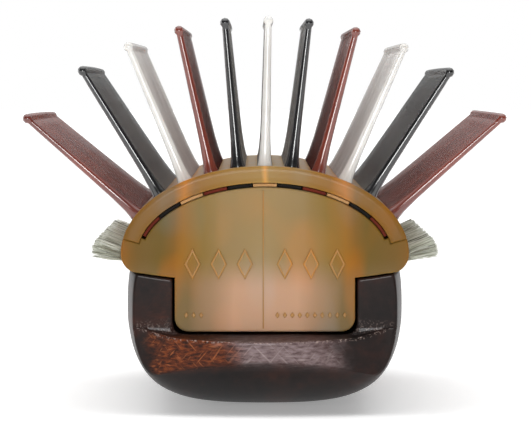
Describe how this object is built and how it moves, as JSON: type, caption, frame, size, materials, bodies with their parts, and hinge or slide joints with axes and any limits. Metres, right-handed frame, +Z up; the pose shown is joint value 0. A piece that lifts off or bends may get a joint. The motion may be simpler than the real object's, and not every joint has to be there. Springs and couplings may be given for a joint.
{
  "type": "hairbrush",
  "caption": "Half-round styling hairbrush: dark wooden body with an open channel, translucent amber cushion, fanned ball-tipped pin combs and bristle tufts.",
  "frame": {"origin": "on the surface that the brush lies on, below the middle of its overall box", "axes": "+Z up, through the pins; +Y from the nose to the handle's end; +X to the right, seen from the nose"},
  "size_m": [0.0788, 0.2259, 0.0641],
  "materials": {
    "stained_wood": "dark stain under gloss lacquer",
    "amber_core": "translucent amber elastomer, satin",
    "amber_skin": "translucent amber elastomer, satin",
    "red_nylon": "gloss",
    "black_nylon": "gloss",
    "white_nylon": "gloss",
    "bristle": "natural hair, pale",
    "anchor_wire": "drawn"
  },
  "bodies": {
    "wooden_body": {"wooden_body": "stained_wood"},
    "cushion": {"cushion_core": "amber_core", "cushion_skin": "amber_skin", "tuft_right_01": "bristle", "tuft_right_02": "bristle", "tuft_right_03": "bristle", "tuft_right_04": "bristle", "tuft_right_05": "bristle", "tuft_right_06": "bristle", "tuft_right_07": "bristle", "tuft_right_08": "bristle", "tuft_right_09": "bristle", "tuft_right_10": "bristle", "tuft_right_11": "bristle", "tuft_right_12": "bristle", "tuft_right_13": "bristle", "tuft_right_14": "bristle", "tuft_right_15": "bristle", "tuft_right_16": "bristle", "tuft_right_17": "bristle", "tuft_left_01": "bristle", "tuft_left_02": "bristle", "tuft_left_03": "bristle", "tuft_left_04": "bristle", "tuft_left_05": "bristle", "tuft_left_06": "bristle", "tuft_left_07": "bristle", "tuft_left_08": "bristle", "tuft_left_09": "bristle", "tuft_left_10": "bristle", "tuft_left_11": "bristle", "tuft_left_12": "bristle", "tuft_left_13": "bristle", "tuft_left_14": "bristle", "tuft_left_15": "bristle", "tuft_left_16": "bristle", "tuft_left_17": "bristle", "tuft_anchors": "anchor_wire"},
    "row_01": {"pin_row_01": "red_nylon"},
    "row_02": {"pin_row_02": "black_nylon"},
    "row_03": {"pin_row_03": "white_nylon"},
    "row_04": {"pin_row_04": "red_nylon"},
    "row_05": {"pin_row_05": "black_nylon"},
    "row_06": {"pin_row_06": "white_nylon"},
    "row_07": {"pin_row_07": "black_nylon"},
    "row_08": {"pin_row_08": "red_nylon"},
    "row_09": {"pin_row_09": "white_nylon"},
    "row_10": {"pin_row_10": "black_nylon"},
    "row_11": {"pin_row_11": "red_nylon"}
  },
  "joints": [
    {"name": "cushion_slide", "type": "slide", "parent": "wooden_body", "child": "cushion", "axis": [0, -1, 0], "range_m": [0, 0.104]},
    {"name": "row_rock_01", "type": "hinge", "parent": "cushion", "child": "row_01", "pos_m": [-0.01827, -0.061, 0.03031], "axis": [0, 1, 0], "range_deg": [-2.5, 2.5], "stiffness_Nm_per_rad": 0.02},
    {"name": "row_rock_02", "type": "hinge", "parent": "cushion", "child": "row_02", "pos_m": [-0.01527, -0.061, 0.03293], "axis": [0, 1, 0], "range_deg": [-2.5, 2.5], "stiffness_Nm_per_rad": 0.02},
    {"name": "row_rock_03", "type": "hinge", "parent": "cushion", "child": "row_03", "pos_m": [-0.01175, -0.061, 0.03477], "axis": [0, 1, 0], "range_deg": [-2.5, 2.5], "stiffness_Nm_per_rad": 0.02},
    {"name": "row_rock_04", "type": "hinge", "parent": "cushion", "child": "row_04", "pos_m": [-0.00795, -0.061, 0.03601], "axis": [0, 1, 0], "range_deg": [-2.5, 2.5], "stiffness_Nm_per_rad": 0.02},
    {"name": "row_rock_05", "type": "hinge", "parent": "cushion", "child": "row_05", "pos_m": [-0.00401, -0.061, 0.03672], "axis": [0, 1, 0], "range_deg": [-2.5, 2.5], "stiffness_Nm_per_rad": 0.02},
    {"name": "row_rock_06", "type": "hinge", "parent": "cushion", "child": "row_06", "pos_m": [0, -0.061, 0.03695], "axis": [0, 1, 0], "range_deg": [-2.5, 2.5], "stiffness_Nm_per_rad": 0.02},
    {"name": "row_rock_07", "type": "hinge", "parent": "cushion", "child": "row_07", "pos_m": [0.00401, -0.061, 0.03672], "axis": [0, 1, 0], "range_deg": [-2.5, 2.5], "stiffness_Nm_per_rad": 0.02},
    {"name": "row_rock_08", "type": "hinge", "parent": "cushion", "child": "row_08", "pos_m": [0.00795, -0.061, 0.03601], "axis": [0, 1, 0], "range_deg": [-2.5, 2.5], "stiffness_Nm_per_rad": 0.02},
    {"name": "row_rock_09", "type": "hinge", "parent": "cushion", "child": "row_09", "pos_m": [0.01175, -0.061, 0.03477], "axis": [0, 1, 0], "range_deg": [-2.5, 2.5], "stiffness_Nm_per_rad": 0.02},
    {"name": "row_rock_10", "type": "hinge", "parent": "cushion", "child": "row_10", "pos_m": [0.01527, -0.061, 0.03293], "axis": [0, 1, 0], "range_deg": [-2.5, 2.5], "stiffness_Nm_per_rad": 0.02},
    {"name": "row_rock_11", "type": "hinge", "parent": "cushion", "child": "row_11", "pos_m": [0.01827, -0.061, 0.03031], "axis": [0, 1, 0], "range_deg": [-2.5, 2.5], "stiffness_Nm_per_rad": 0.02}
  ]
}
